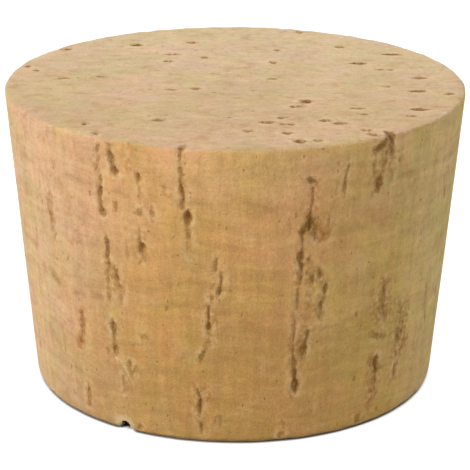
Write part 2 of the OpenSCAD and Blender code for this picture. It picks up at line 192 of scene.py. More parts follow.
# Soft stains of bark powder on the wall: (degrees and height in mm at the top, the same at the
# foot, width, strength, redness)
STAINS = [
    # left group
    (-34.8, 35.5, -34.4, 33.5, 0.8, 0.35, 0.2), (-33.0, 33.3, -33.2, 32.2, 1.3, 0.45, 0.1),
    (-30.2, 37.0, -29.8, 35.2, 1.5, 0.5, 0.0), (-29.2, 34.5, -29.2, 33.2, 1.3, 0.45, 0.0),
    (-25.6, 37.2, -25.2, 34.6, 0.9, 0.4, 0.2), (-23.4, 34.2, -23.2, 30.2, 0.8, 0.3, 0.2),
    (-29.5, 29.8, -29.8, 28.5, 0.9, 0.45, 0.5), (-27.0, 34.0, -26.6, 30.5, 0.6, 0.25, 0.3),
    (-24.3, 29.1, -22.6, 29.0, 0.8, 0.45, 0.0), (-19.7, 29.9, -19.8, 28.0, 0.9, 0.4, 0.3),
    (-23.2, 27.0, -22.8, 23.0, 1.8, 0.4, 0.0), (-26.8, 26.8, -26.9, 23.0, 1.0, 0.3, 0.2),
    (-33.8, 31.5, -33.6, 28.2, 1.5, 0.3, 0.1), (-32.8, 25.4, -32.8, 22.5, 1.4, 0.3, 0.0),
    (-32.9, 22.5, -33.2, 19.0, 1.4, 0.4, 0.1), (-31.4, 21.6, -30.6, 20.0, 1.6, 0.55, 0.4),
    (-30.2, 19.6, -29.6, 18.6, 1.7, 0.5, 0.5), (-33.2, 18.6, -33.2, 17.6, 1.1, 0.35, 0.2),
    (-29.9, 18.2, -29.6, 17.0, 0.9, 0.3, 0.3), (-43.0, 14.8, -44.2, 10.2, 1.5, 0.6, 0.5),
    (-45.0, 10.6, -45.6, 9.2, 1.2, 0.45, 0.4), (-43.0, 4.7, -43.4, 2.0, 1.4, 0.55, 0.3),
    (-32.6, 14.4, -32.4, 13.2, 1.6, 0.5, 0.0), (-32.2, 11.0, -32.2, 10.0, 1.5, 0.5, 0.0),
    (-32.4, 13.0, -32.3, 11.0, 1.0, 0.35, 0.0), (-28.6, 9.2, -28.2, 8.7, 1.2, 0.45, 0.0),
    (-26.6, 9.2, -26.2, 8.2, 1.0, 0.45, 0.0), (-29.6, 8.4, -30.4, 5.2, 1.1, 0.45, 0.1),
    (-29.6, 5.2, -29.2, 3.2, 1.0, 0.25, 0.2), (-23.6, 13.4, -23.2, 13.1, 2.4, 0.3, 0.0),
    (-17.2, 14.2, -16.8, 11.4, 2.6, 0.3, 0.9), (-36.8, 19.5, -37.2, 15.5, 0.7, 0.2, 0.2),
    (-52.5, 30.8, -52.6, 28.4, 1.0, 0.25, 0.2), (-52.2, 28.2, -52.4, 26.2, 1.8, 0.45, 0.2),
    (-52.0, 25.8, -51.6, 22.8, 1.9, 0.4, 0.2), (-44.8, 28.8, -44.8, 27.0, 1.8, 0.25, 0.5),
    (-53.5, 35.3, -51.5, 35.1, 1.0, 0.3, 0.7), (-45.5, 23.4, -44.0, 23.0, 1.3, 0.3, 0.3),
    # middle
    (-12.4, 36.2, -12.4, 33.6, 1.2, 0.45, 0.0), (-12.0, 33.5, -11.9, 30.2, 1.1, 0.35, 0.1),
    (-10.9, 30.0, -10.8, 26.6, 1.2, 0.35, 0.1), (-11.0, 26.6, -10.8, 24.2, 0.7, 0.3, 0.1),
    (-16.8, 32.8, -15.4, 31.8, 1.6, 0.35, 0.3), (-4.2, 24.6, -5.2, 20.6, 0.8, 0.4, 0.0),
    (-2.8, 22.8, -3.4, 19.0, 0.9, 0.4, 0.0), (-5.2, 20.2, -5.8, 18.2, 0.9, 0.35, 0.0),
    (-6.4, 18.2, -6.2, 14.8, 1.1, 0.45, 0.0), (-4.6, 16.8, -4.4, 15.8, 0.8, 0.4, 0.0),
    (-6.6, 14.2, -8.2, 10.8, 1.1, 0.4, 0.0), (-10.2, 7.8, -8.6, 6.4, 0.9, 0.4, 0.1),
    (-7.6, 7.6, -6.2, 6.0, 1.4, 0.35, 0.1), (-9.0, 6.0, -8.8, 3.4, 1.5, 0.45, 0.2),
    (-8.8, 3.4, -8.0, 0.8, 1.0, 0.4, 0.2), (-3.9, 3.3, -3.7, 2.9, 1.8, 0.4, 0.1),
    (-13.0, 7.8, -12.6, 6.2, 0.9, 0.25, 0.0), (0.8, 36.6, 0.6, 35.6, 1.6, 0.3, 0.4),
    # right of the middle
    (12.9, 30.2, 12.9, 26.8, 0.8, 0.35, 0.9), (17.2, 33.4, 18.6, 33.2, 1.0, 0.5, 0.1),
    (18.4, 32.6, 18.6, 29.0, 1.7, 0.45, 0.7), (18.2, 28.8, 18.0, 27.6, 1.8, 0.6, 0.0),
    (17.9, 28.6, 18.0, 28.1, 0.9, 0.9, 0.0), (17.3, 33.5, 18.2, 33.4, 0.8, 0.7, 0.0),
    (19.4, 28.4, 20.6, 26.2, 1.1, 0.6, 0.3), (22.8, 28.8, 22.4, 26.4, 1.2, 0.45, 0.6),
    (21.0, 31.8, 21.8, 27.4, 2.8, 0.17, 1.0), (-25.4, 37.0, -25.0, 33.0, 2.0, 0.14, 1.0),
    (21.2, 26.6, 21.6, 23.6, 1.0, 0.4, 0.8), (24.6, 27.4, 24.8, 23.2, 0.8, 0.25, 0.5),
    (15.4, 28.0, 16.4, 26.6, 1.2, 0.4, 0.0), (16.2, 25.0, 16.4, 21.6, 1.4, 0.5, 0.1),
    (18.5, 24.2, 18.6, 23.2, 1.0, 0.4, 0.3), (20.8, 22.2, 21.0, 21.3, 1.3, 0.5, 0.1),
    (19.2, 21.6, 18.6, 17.4, 1.4, 0.35, 0.1), (22.8, 20.8, 22.6, 18.8, 1.1, 0.5, 0.0),
    (21.8, 18.4, 21.6, 16.8, 1.6, 0.5, 0.0), (21.6, 16.8, 22.4, 15.4, 0.9, 0.3, 0.1),
    (15.6, 22.0, 15.4, 17.0, 1.0, 0.35, 0.3), (14.6, 16.4, 14.6, 10.6, 0.8, 0.4, 0.3),
    (19.0, 14.8, 18.4, 13.6, 1.5, 0.5, 0.0), (17.8, 12.6, 17.8, 11.4, 1.9, 0.6, 0.0),
    (17.4, 16.0, 17.2, 13.2, 0.9, 0.3, 0.1), (15.8, 10.6, 16.0, 6.6, 1.8, 0.55, 0.1),
    (26.8, 35.4, 26.4, 31.2, 1.0, 0.4, 0.0), (24.4, 33.8, 24.2, 30.0, 0.6, 0.25, 0.0),
    (13.2, 2.6, 13.2, 0.8, 1.1, 0.4, 0.4), (20.0, 33.4, 23.0, 33.2, 0.7, 0.25, 0.0),
    # right group
    (34.2, 36.9, 37.6, 36.7, 1.9, 0.4, 0.0), (38.8, 37.4, 39.2, 35.2, 1.7, 0.4, 0.0),
    (34.4, 36.0, 36.2, 36.3, 0.9, 0.9, 0.0), (36.4, 36.5, 37.6, 36.9, 0.8, 0.9, 0.0),
    (38.8, 37.5, 39.6, 37.3, 1.0, 0.9, 0.0), (39.0, 36.2, 39.2, 35.4, 0.8, 0.6, 0.0),
    (36.1, 32.3, 36.3, 31.2, 0.8, 0.9, 0.0), (41.4, 18.6, 41.8, 12.6, 3.4, 0.25, 0.1),
    (47.5, 15.5, 48.5, 8.5, 3.0, 0.25, 0.0), (38.5, 8.0, 39.5, 2.0, 1.6, 0.25, 0.4),
    (34.2, 36.2, 34.6, 33.0, 1.0, 0.35, 0.1), (37.4, 35.8, 37.2, 33.2, 1.3, 0.4, 0.0),
    (40.2, 34.8, 40.4, 32.2, 1.6, 0.4, 0.0), (43.0, 35.8, 43.2, 34.0, 0.9, 0.25, 0.0),
    (36.0, 32.6, 36.2, 31.0, 1.6, 0.6, 0.0), (41.5, 18.8, 41.5, 17.8, 2.4, 0.4, 0.1),
    (40.6, 17.0, 42.6, 16.6, 1.0, 0.55, 0.0), (37.6, 17.8, 37.8, 15.4, 1.1, 0.3, 0.2),
    (42.4, 15.4, 42.8, 14.4, 1.8, 0.4, 0.0), (39.8, 15.8, 39.6, 14.4, 1.4, 0.35, 0.2),
    (38.2, 12.4, 40.0, 11.8, 0.9, 0.45, 0.0), (41.4, 11.6, 43.0, 11.4, 0.9, 0.5, 0.1),
    (39.6, 8.9, 41.6, 7.4, 1.8, 0.6, 0.0), (40.8, 7.2, 41.0, 4.2, 1.8, 0.5, 0.4),
    (41.0, 4.4, 40.8, 1.6, 1.4, 0.4, 0.2), (49.0, 14.6, 51.0, 11.6, 1.9, 0.4, 0.0),
    (49.0, 11.6, 53.2, 9.4, 2.2, 0.5, 0.0), (49.6, 8.4, 49.6, 4.8, 1.8, 0.4, 0.2),
    (53.2, 15.4, 53.2, 13.4, 1.8, 0.3, 0.0), (46.0, 6.4, 47.0, 4.0, 1.6, 0.25, 0.4),
    (33.0, 2.2, 35.4, 1.6, 1.0, 0.35, 0.9), (36.4, 1.6, 37.2, 1.0, 1.2, 0.5, 0.0),
    (57.0, 18.4, 58.0, 16.6, 1.4, 0.35, 0.0), (61.0, 16.5, 62.0, 11.5, 1.2, 0.35, 0.1),
]

# The same on the wide end: (x and y as shares of its radius, size along x and y in mm, strength)
END_STAINS = [
    (-0.145, 0.41, 0.9, 2.6, 0.4), (-0.28, 0.12, 1.3, 2.0, 0.35), (-0.17, 0.08, 0.8, 1.6, 0.2),
    (-0.77, 0.04, 2.6, 3.6, 0.3), (-0.60, 0.07, 2.4, 2.2, 0.25), (-0.79, -0.12, 0.8, 1.8, 0.3),
    (-0.68, -0.06, 0.8, 1.8, 0.25), (-0.68, -0.60, 1.4, 2.4, 0.4), (-0.62, -0.66, 1.4, 1.8, 0.35),
    (-0.74, -0.54, 0.8, 1.6, 0.3), (-0.565, -0.80, 1.5, 1.5, 0.9), (-0.20, -0.965, 1.4, 1.6, 0.7),
    (-0.32, -0.58, 2.2, 2.4, 0.3), (-0.01, -0.68, 1.4, 2.0, 0.3), (-0.28, -0.88, 2.0, 1.6, 0.25),
    (-0.36, 0.50, 0.9, 2.2, 0.3), (-0.33, 0.61, 1.4, 1.6, 0.35), (-0.85, 0.30, 1.2, 2.4, 0.3),
    (0.38, 0.52, 2.2, 2.6, 0.3), (0.84, -0.04, 1.6, 2.6, 0.4), (0.91, 0.02, 1.2, 1.8, 0.25),
    (0.28, -0.34, 1.6, 3.6, 0.6), (0.68, -0.58, 1.0, 2.0, 0.3), (0.40, -0.60, 3.0, 1.6, 0.35),
    (0.07, -0.73, 2.4, 1.8, 0.25), (0.57, -0.80, 1.6, 1.7, 1.0), (0.635, -0.755, 1.6, 1.7, 1.0),
    (0.60, 0.12, 1.0, 3.0, 0.2), (0.30, 0.895, 1.6, 1.8, 0.5), (0.225, 0.895, 1.4, 1.8, 0.4),
    (0.17, 0.12, 1.2, 2.2, 0.25), (0.10, 0.60, 1.6, 3.0, 0.25), (0.72, 0.36, 1.6, 3.0, 0.2),
]


def luck(low, high, seed):
    """A number between two others that looks drawn by chance: the fine digits of a sine."""
    fine = 1e4 * np.sin(np.radians(97.31 * np.asarray(seed, float)))
    return low + (high - low) * (fine - np.floor(fine))


def speckle(at, size, seed):
    """Smooth noise from -1 to 1 over points in mm: a lattice of drawn values, each side size
    long (one number, or one each way), joined by an S-curve along X, Y and Z."""
    table = np.random.default_rng(seed).uniform(-1, 1, (32, 32, 32))
    cell = at / np.asarray(size, float)
    low = np.floor(cell).astype(int)
    part = cell - low
    part = part * part * (3 - 2 * part)
    total = 0.0
    for corner in np.ndindex(2, 2, 2):
        step = np.array(corner)
        weight = np.prod(np.where(step, part, 1 - part), axis=-1)
        i, j, k = ((low + step) % 32).reshape(-1, 3).T
        total = total + weight * table[i, j, k].reshape(weight.shape)
    return total


def s_curve(value, start, end):
    """0 up to start, 1 from end on, and an S between them; start may be above end."""
    t = np.clip((value - start) / (end - start), 0, 1)
    return t * t * (3 - 2 * t)


# Every opening in the wall as stretches: degrees and height along the wall at the top, the
# same at the foot, width, depth, darkness. A wider one is deeper and darker.
stretches = []
for chain in FISSURES:
    for here, after in zip(chain[:-1], chain[1:]):
        deep = FISSURE_DEPTH * np.interp(here[2], (HAIR, OPEN, GAPE), (0.5, 0.6, 0.9))
        how_dark = np.interp(here[2], (HAIR, OPEN, GAPE), (0.4, 0.5, 0.7))
        stretches.append((here[0], here[1] * WALL, after[0], after[1] * WALL, here[2], deep, how_dark))
FAINT_DEPTH = 0.3
for at_turn, top, foot, wide, how_dark in FAINT:
    stretches.append((at_turn, top * WALL / TALL, at_turn, foot * WALL / TALL, wide,
                      FAINT_DEPTH * how_dark, how_dark))

# Round the back, spread by luck
BACK_FISSURES, BACK_FROM, BACK_SPAN = 22, 80, 200
BACK_DEPTH, BACK_DARK = 0.8 * FISSURE_DEPTH, 0.6
SCATTER_SEED = 41
for i in range(BACK_FISSURES):
    seed = SCATTER_SEED + 100 * i
    wide = (HAIR, OPEN, HAIR, GAPE)[i % 4]
    at_turn = BACK_FROM + BACK_SPAN * (i + luck(0, 1, seed)) / BACK_FISSURES
    share = luck(0.28, 1 - (PIT_DEPTH + FISSURE_LAP) / TALL, seed + 1)
    for k in range(int(np.ceil(luck(0, 3, seed + 2)))):
        turn_after = at_turn + luck(-1.2, 1.2, seed + 3 + k)
        share_after = share - luck(0.03, 0.09, seed + 53 + k)
        stretches.append((at_turn, share * WALL, turn_after, share_after * WALL, wide,
                          BACK_DEPTH, BACK_DARK))
        at_turn, share = turn_after, share_after
stretches = np.array(stretches)

# Every pit: x, y, direction in degrees, length, width. Those of the narrow end lie on a
# spiral that fills its flat evenly.
SHORTEST_PIT = 1.25
wide_pits = np.array([(x * WIDE_R, y * WIDE_R, 0.0, max(wide * long, SHORTEST_PIT * wide), wide)
                      for x, y, wide, long in PITS])
BASE_PITS, GOLDEN_TURN = 34, 137.5
PITTED_R = NARROW_R - NARROW_EDGE_R - FISSURE_DEPTH - 1.4 * LARGE
base_pits = []
for i in range(BASE_PITS):
    seed = SCATTER_SEED + 10 * i
    wide = (SMALL, PIT, SMALL, LARGE, SMALL)[i % 5]
    reach = PITTED_R * math.sqrt((i + luck(0.5, 1, seed)) / BASE_PITS)
    at_turn = GOLDEN_TURN * i + luck(-15, 15, seed + 1)
    base_pits.append((reach * math.cos(math.radians(at_turn)), reach * math.sin(math.radians(at_turn)),
                      -luck(-15, 15, seed + 2), wide * luck(1.3, 2.8, seed + 3), wide))
base_pits = np.array(base_pits)


def from_pit(x, y, pit):
    """Along and across the direction of a pit, in mm from its middle: a turn of the plane."""
    pit_x, pit_y, way = pit[:3]
    way = math.radians(way)
    along = (x - pit_x) * math.cos(way) + (y - pit_y) * math.sin(way)
    across = (x - pit_x) * math.sin(way) - (y - pit_y) * math.cos(way)
    return along, across


def lens_edge(along, across, long, wide):
    """About the distance to the edge of a lens outline, negative inside: across, less the half
    width that falls off with the square of along, and past the tips the distance to the tip."""
    half = long / 2
    thick = wide / 2 * np.clip(1 - (along / half) ** 2, 0, 1)
    past = np.clip(np.abs(along) - half, 0, None)
    return np.where(past > 0, np.hypot(past, across), np.abs(across) - thick)


# The grid: closed columns round the wall, and on each end a square grid folded onto the disc
SQUARE = 128
COLUMNS = 4 * SQUARE
WALL_ROWS = 106
EDGE_ROWS = 4
BASE = -math.pi + np.arange(COLUMNS) * 2 * math.pi / COLUMNS


def profile():
    """Radius and height, outward normal and length along the profile, for the rows from the
    narrow flat round its edge, up the wall and round the crisp edge of the wide end."""
    tan, sec = math.tan(LEAN), 1 / math.cos(LEAN)
    low = np.array([NARROW_R + NARROW_EDGE_R * (tan - sec), NARROW_EDGE_R])
    high = np.array([WIDE_R - WIDE_EDGE_R * (tan + sec), TALL - WIDE_EDGE_R])
    turn_low = np.linspace(-math.pi / 2, -LEAN, EDGE_ROWS + 1)
    turn_high = np.linspace(-LEAN, math.pi / 2, EDGE_ROWS + 1)
    arc_low = low + NARROW_EDGE_R * np.stack([np.cos(turn_low), np.sin(turn_low)], 1)
    arc_high = high + WIDE_EDGE_R * np.stack([np.cos(turn_high), np.sin(turn_high)], 1)
    up = np.linspace(0, 1, WALL_ROWS + 1)[1:-1, None]
    wall = arc_low[-1] * (1 - up) + arc_high[0] * up
    at = np.concatenate([arc_low, wall, arc_high])
    turn = np.concatenate([turn_low, np.full(len(wall), -LEAN), turn_high])
    run = np.concatenate([[0], np.cumsum(np.linalg.norm(np.diff(at, axis=0), axis=1))])
    # Counted from the sharp corner, so that a share of the wall falls at the same height
    run += at[EDGE_ROWS, 1] / math.cos(LEAN) - run[EDGE_ROWS]
    return at, np.stack([np.cos(turn), np.sin(turn)], 1), run


def from_stretch(turn, run, radius, stretch):
    """Along and across, in mm, from the middle of a stretch, unrolled; its half length; its way."""
    turn_a, run_a, turn_b, run_b = stretch[:4]
    off = (np.degrees(turn) - (turn_a + turn_b) / 2 + 180) % 360 - 180
    x, y = np.radians(off) * radius, run - (run_a + run_b) / 2
    way = np.array([math.radians(turn_b - turn_a) * NARROW_R, run_b - run_a])
    half = math.hypot(*way) / 2
    way = way / (2 * half)
    return x * way[0] + y * way[1], x * way[1] - y * way[0], half, way


def way_in(along, across, half, way, reach):
    """The way from each point to the nearest point of a middle line, and its weight, which
    falls off with the distance as a bell curve."""
    short = np.clip(along, -half, half) - along
    weight = np.exp(-(short ** 2 + across ** 2) / (2 * reach ** 2))
    return weight * (short * way[0] - across * way[1]), weight * (short * way[1] + across * way[0]), weight


row_at, row_normal, row_run = profile()
ROWS = len(row_at)
radius = np.repeat(row_at[:, :1], COLUMNS, 1)
run = np.repeat(row_run[:, None], COLUMNS, 1)

# Columns are drawn in towards the openings near them, where the shape needs them: by the
# weighted mean of the ways to each, which never lets two columns cross
DRAW = 0.6
DRAW_REACH = 0.55
FULL_DRAW_DEPTH = 0.4
NEARBY = 3.0
turn = np.repeat(BASE[None], ROWS, 0)
pull, total = np.zeros_like(turn), np.zeros_like(turn)
for stretch in stretches:
    near = np.abs(row_run - (stretch[1] + stretch[3]) / 2) < abs(stretch[1] - stretch[3]) / 2 + NEARBY
    placed = from_stretch(turn[near], run[near], radius[near], stretch)
    x, y, weight = way_in(*placed, DRAW_REACH + stretch[4] / 2)
    pull[near] += x * min(1, stretch[5] / FULL_DRAW_DEPTH)
    total[near] += weight
turn += DRAW * pull / np.maximum(total, 1) / radius

# Each end: the ring and angle of each point of the folded square, whose edge is the rim
step = np.linspace(-1, 1, SQUARE + 1)
u, v = np.meshgrid(step, step, indexing="ij")
ring = np.maximum(np.abs(u), np.abs(v))
wide_u = np.abs(u) >= np.abs(v)
slope = np.where(wide_u, v, u) / np.where(ring == 0, 1, np.where(wide_u, u, v))
fold = np.where(wide_u, np.where(u < 0, math.pi, 0) + slope * math.pi / 4,
                np.sign(v) * math.pi / 2 - slope * math.pi / 4)
rim_column = np.round((fold + math.pi) / (2 * math.pi) * COLUMNS).astype(int) % COLUMNS
PIT_DRAW_REACH = 0.5


def folded_end(row, pits):
    """X and Y of a square grid folded onto the flat end inside a row of the wall: its rings
    are circles, its edge lies on that row's own columns, and its points are drawn into pits."""
    shift = np.interp(fold, BASE, turn[row] - BASE, period=2 * math.pi)
    around = fold + shift * ring ** 8
    x = ring * row_at[row, 0] * np.sin(around)
    y = -ring * row_at[row, 0] * np.cos(around)
    pull_x, pull_y, total = np.zeros_like(x), np.zeros_like(x), np.zeros_like(x)
    for pit in pits:
        way, long, wide = pit[2:]
        way = np.array([math.cos(math.radians(way)), math.sin(math.radians(way))])
        dx, dy, weight = way_in(*from_pit(x, y, pit), long / 4, way, PIT_DRAW_REACH + wide / 2)
        pull_x += dx
        pull_y += dy
        total += weight
    free = DRAW * (1 - ring ** 12) / np.maximum(total, 1)
    return x + pull_x * free, y + pull_y * free


wide_x, wide_y = folded_end(ROWS - 1, wide_pits)
narrow_x, narrow_y = folded_end(0, base_pits)

# All points, before anything is cut: the wall's rows, then the inside of each end
inner = (slice(1, -1), slice(1, -1))
ends = [
    (wide_x[inner].ravel(), wide_y[inner].ravel(), TALL, 1.0),
    (narrow_x[inner].ravel(), narrow_y[inner].ravel(), 0.0, -1.0),
]
end_points = (SQUARE - 1) ** 2
wide_points = turn.size + np.arange(end_points)
narrow_points = wide_points + end_points
point_turn = np.concatenate([turn.ravel()] + [np.arctan2(x, -y) for x, y, z, up in ends])
point_r = np.concatenate([radius.ravel()] + [np.hypot(x, y) for x, y, z, up in ends])
wall_z, wall_normal_r, wall_normal_z = (np.repeat(values, COLUMNS) for values in
                                        (row_at[:, 1], row_normal[:, 0], row_normal[:, 1]))
point_z = np.concatenate([wall_z] + [np.full(end_points, z) for x, y, z, up in ends])
point_run = np.concatenate([
    run.ravel(),
    row_run[-1] + row_at[-1, 0] - np.hypot(ends[0][0], ends[0][1]),
    row_run[0] - row_at[0, 0] + np.hypot(ends[1][0], ends[1][1]),
])
normal_r = np.concatenate([wall_normal_r, np.zeros(2 * end_points)])
normal_z = np.concatenate([wall_normal_z] + [np.full(end_points, up) for x, y, z, up in ends])
outward = np.stack([np.sin(point_turn), -np.cos(point_turn)], 1)
plain = np.concatenate([point_r[:, None] * outward, point_z[:, None]], 1)

# The bark is ragged: what cuts it is moved a little this way and that
ragged_across = 0.09 * speckle(plain, 0.75, 1) + 0.05 * speckle(plain, 0.35, 2)
ragged_along = 0.25 * speckle(plain, 0.9, 3)
uneven_floor = 0.75 + 0.35 * speckle(plain, 0.9, 4)

# edge: distance to the edge of the nearest opening; depth: how deep it is cut; dark: how
# dark it is inside
edge = np.full(len(plain), NEARBY)
depth = np.zeros(len(plain))
dark = np.zeros(len(plain))
WALL_SOFT, LIP_SOFT = 0.2, 0.05


def cut(where, along, across, long, wide, deep, how_dark):
    """Cuts a ragged lens into the points where it may reach: full depth from a soft wall inside
    its edge, and a slight dip outside it."""
    distance = lens_edge(along + ragged_along[where], across + ragged_across[where], long, wide)
    fall = s_curve(distance, LIP_SOFT, -WALL_SOFT) * deep * uneven_floor[where]
    depth[where] = np.maximum(depth[where], fall)
    nearer = distance < edge[where]
    dark[where] = np.where(nearer, how_dark, dark[where])
    edge[where] = np.minimum(edge[where], distance)


for stretch in stretches:
    reach = np.hypot(stretch[3] - stretch[1], 2) / 2 + NEARBY
    where = np.flatnonzero(np.abs(point_run - (stretch[1] + stretch[3]) / 2) < reach)
    along, across, half, way = from_stretch(point_turn[where], point_run[where], point_r[where], stretch)
    cut(where, along, across, 2 * half + FISSURE_LAP, stretch[4], stretch[5], stretch[6])
DRAWN_PIT_DEPTH = 0.9 * PIT_DEPTH
for where, pits, (x, y, z, up) in zip((wide_points, narrow_points), (wide_pits, base_pits), ends):
    for pit in pits:
        along, across = from_pit(x, y, pit)
        long, wide = pit[3:]
        cut(where, along, across, long, wide, DRAWN_PIT_DEPTH, np.interp(wide, (SMALL, LARGE), (0.6, 1.0)))

# The ground surface: shallow flats and hollows, and the wear of both edges
WIDE_WEAR, NARROW_WEAR = 0.07, 0.06
rough = 0.025 * (1 + speckle(plain, (2.2, 2.2, 6.0), 5))
rough += 0.012 * (1 + speckle(plain, (0.7, 0.7, 1.6), 6))
wear_wide = np.exp(-((point_run - WALL) / 0.45) ** 2)
wear_narrow = np.exp(-(point_run / 0.8) ** 2)
rough += WIDE_WEAR * wear_wide * (1 + speckle(plain, 1.3, 7))
rough += NARROW_WEAR * wear_narrow * (1 + speckle(plain, 1.6, 8))
sunk = depth + rough
place_r = point_r - sunk * normal_r
place_z = point_z - sunk * normal_z

# The chip: the corner of the edge is pushed in and up, onto the roof and back of the notch
chip_x = point_r * (((np.degrees(point_turn) - CHIP_TURN + 180) % 360 - 180) * math.pi / 180)
chip_x += 0.12 * speckle(plain, 0.6, 9)
roof = CHIP_H * np.interp(chip_x / CHIP_W, [-0.5, -0.1, 0.12, 0.5], [0, 0.85, 1, 0])
roof *= 1 + 0.15 * speckle(plain, 0.5, 10)
inward = (NARROW_R + point_z * math.tan(LEAN) - point_r) / CHIP_DEPTH
pushed = s_curve(1 - np.maximum(point_z / np.maximum(roof, 0.01), inward), 0.0, 0.9) * (roof > 0.02)
pushed *= point_z < 2 * CHIP_H
place_r -= pushed * CHIP_DEPTH
place_z += pushed * roof
# Points pushed into the notch get a darkness past any opening's, which the material paints near black as the
# shadow inside the notch
PAINTED_CHIP_SHADOW = 1.5
edge = np.where(pushed > 0, np.minimum(edge, 0.1 - 0.5 * pushed), edge)
dark = np.where(pushed > 0, PAINTED_CHIP_SHADOW, dark)

places = np.concatenate([place_r[:, None] * outward, place_z[:, None]], 1)

# Stains: how much dark powder lies at each point, and how red it is, as soft bells that
# overlap without adding past one
clean = np.ones(len(plain))
red_sum, stain_sum = np.zeros(len(plain)), np.full(len(plain), 1e-6)


def spread(where, bell, strength, redness):
    """Lays a soft stain over some of the points: its bell times its strength."""
    clean[where] *= 1 - strength * bell
    stain_sum[where] += strength * bell
    red_sum[where] += strength * bell * redness


back_stains = []
for i in range(BACK_FISSURES):
    seed = SCATTER_SEED + 100 * i
    start = BACK_FROM + BACK_SPAN * (i + luck(0, 1, seed + 5)) / BACK_FISSURES
    top = luck(4, 36, seed + 6)
    back_stains.append((start, top, start + luck(-1, 1, seed + 7), top - luck(0.5, 5, seed + 8),
                        luck(0.8, 2.2, seed + 9), luck(0.25, 0.6, seed + 10), luck(0, 0.7, seed + 11)))
for turn_a, run_a, turn_b, run_b, wide, deep, how_dark in stretches[stretches[:, 0] >= BACK_FROM]:
    back_stains.append((turn_a, run_a * TALL / WALL, turn_b, run_b * TALL / WALL, wide + 0.7, 0.4, 0.2))
for turn_a, top, turn_b, foot, wide, strength, redness in STAINS + back_stains:
    stretch = (turn_a, top * WALL / TALL, turn_b, foot * WALL / TALL)
    where = np.flatnonzero(np.abs(point_run - (stretch[1] + stretch[3]) / 2) < (top - foot) / 2 + 4)
    along, across, half, way = from_stretch(point_turn[where], point_run[where], point_r[where], stretch)
    past = np.clip(np.abs(along) - half, 0, None) / (0.25 + wide / 3)
    spread(where, np.exp(-(2 * across / wide) ** 2 - past ** 2), strength, redness)
for share_x, share_y, size_x, size_y, strength in END_STAINS:
    off_x, off_y = ends[0][0] - share_x * WIDE_R, ends[0][1] - share_y * WIDE_R
    spread(wide_points, np.exp(-(2 * off_x / size_x) ** 2 - (2 * off_y / size_y) ** 2), strength, 0.0)
for where, pits, (x, y, z, up) in zip((wide_points, narrow_points), (wide_pits, base_pits), ends):
    for pit in pits:
        along, across = from_pit(x, y, pit)
        long, wide = pit[3:]
        bell = np.exp(-(2 * along / (long + 0.5)) ** 2 - (2 * across / (wide + 0.9)) ** 2)
        spread(where, bell, np.interp(wide, (SMALL, LARGE), (0.3, 0.6)), 0.1)
stain = 1 - clean
how_red = red_sum / stain_sum

# Faces: the wall's rows, then each end's square with the rim's points at its edge
i, k = np.meshgrid(np.arange(ROWS - 1), np.arange(COLUMNS), indexing="ij")
after = (k + 1) % COLUMNS
here, above = i * COLUMNS, (i + 1) * COLUMNS
wall_faces = np.stack([here + k, here + after, above + after, above + k], -1)


def end_faces(row, points):
    """The squares of an end's grid, each as its four corners: rim points of a row round the
    inside points."""
    grid = row * COLUMNS + rim_column
    grid[inner] = points.reshape(SQUARE - 1, SQUARE - 1)
    return np.stack([grid[:-1, :-1], grid[1:, :-1], grid[1:, 1:], grid[:-1, 1:]], -1).reshape(-1, 4)


wide_faces = end_faces(ROWS - 1, wide_points)
narrow_faces = end_faces(0, narrow_points)[:, ::-1]
faces = np.concatenate([wall_faces.reshape(-1, 4), wide_faces, narrow_faces])

mesh = bpy.data.meshes.new("cork_stopper")
mesh.from_pydata(places * MM, [], faces)
mesh.polygons.foreach_set("use_smooth", np.ones(len(faces), bool))

# Its map, in mm: the wall unrolled in three strips one above the other, beside the two ends
STRIPS = (0, 171, 341, COLUMNS)
SHEET, MARGIN, STRIP_TALL = 121.0, 1.0, 40.0
MEAN_R = 27.0
WIDE_END_AT, NARROW_END_AT = (90.0, 30.0), (90.0, 88.0)
turn_after = np.concatenate([turn[:, 1:], turn[:, :1] + 2 * math.pi], 1)
corner_turn = np.stack([turn[:-1], turn_after[:-1], turn_after[1:], turn[1:]], -1)
corner_run = np.stack([run[:-1], run[:-1], run[1:], run[1:]], -1)
strip = np.searchsorted(STRIPS, np.arange(COLUMNS), side="right") - 1
strip_start = BASE[np.array(STRIPS[:-1])][strip][None, :, None]
strip_foot = (MARGIN + strip * STRIP_TALL)[None, :, None]
wall_u = MARGIN + (corner_turn - strip_start) * MEAN_R
wall_map = np.stack([wall_u, strip_foot + corner_run - row_run[0]], -1)
wide_map = plain[wide_faces][..., :2] + WIDE_END_AT
narrow_map = plain[narrow_faces][..., :2] * (1, -1) + NARROW_END_AT
bake_map = np.concatenate([part.reshape(-1, 2) for part in (wall_map, wide_map, narrow_map)]) / SHEET
mesh.uv_layers.new(name="OFBake").uv.foreach_set("vector", bake_map.astype(np.float32).ravel())
end_face = s_curve(np.abs(normal_z), 0.4, 0.95)
for name, values in (("opening", edge), ("darkness", dark), ("end_face", end_face),
                     ("stain", stain), ("redness", how_red)):
    mesh.attributes.new(name, "FLOAT", "POINT").data.foreach_set("value", values.astype(np.float32))
mesh.validate()
mesh.update()
stopper = bpy.data.objects.new("cork_stopper", mesh)
bpy.context.scene.collection.objects.link(stopper)

# Its material: paler and pinker to the left, olive to the right, and painted darker towards the narrow end
# as shade of the light from above; growth bands lie across the axis and fine streaks along it.
# Openings are filled with dark powdery bark, with a pale border of firm cork.
cork = bpy.data.materials.new("natural_cork")
cork.use_nodes = True
tree = cork.node_tree
shader = tree.nodes["Principled BSDF"]


def node(kind, inputs, out=0, **settings):
    """Adds a shader node to the tree in hand, sets its properties and inputs, links those that
    are sockets, and gives its output."""
    made = tree.nodes.new("ShaderNode" + kind)
    for name, value in settings.items():
        setattr(made, name, value)
    for name, value in inputs.items():
        if isinstance(value, bpy.types.NodeSocket):
            tree.links.new(value, made.inputs[name])
        else:
            made.inputs[name].default_value = value
    return made.outputs[out]


